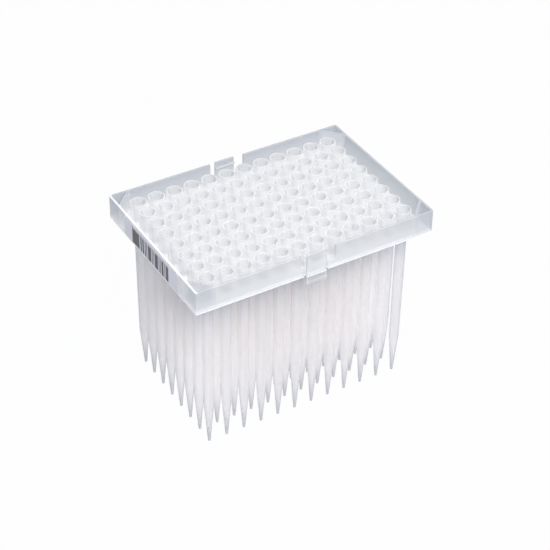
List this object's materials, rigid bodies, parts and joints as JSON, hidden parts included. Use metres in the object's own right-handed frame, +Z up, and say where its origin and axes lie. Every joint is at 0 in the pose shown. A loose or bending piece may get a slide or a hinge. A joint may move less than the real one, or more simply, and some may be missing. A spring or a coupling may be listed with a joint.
{
  "type": "tray of pipette tips",
  "caption": "Open moulded tray with a grid of long hollow pipette tips hanging through its deck, latch tabs on its long walls and a barcode label on one end.",
  "frame": {"origin": "middle of the tray's outline, in the plane of the tip ends that the part stands on", "axes": "+X along the longer side, with the label at -X; +Y along the shorter side; +Z up, from the tip ends to the rim"},
  "size_m": [0.1195, 0.0838, 0.0947],
  "materials": {
    "tray_plastic": "translucent, satin",
    "tip_plastic": "translucent, smooth",
    "label": "matt self-adhesive label with plain dark bars"
  },
  "bodies": {
    "root": {"tray": "tray_plastic", "barcode_label": "label", "tip_column_1": "tip_plastic", "tip_column_2": "tip_plastic", "tip_column_3": "tip_plastic", "tip_column_4": "tip_plastic", "tip_column_5": "tip_plastic", "tip_column_6": "tip_plastic", "tip_column_7": "tip_plastic", "tip_column_8": "tip_plastic", "tip_column_9": "tip_plastic", "tip_column_10": "tip_plastic", "tip_column_11": "tip_plastic", "tip_column_12": "tip_plastic"}
  },
  "joints": []
}
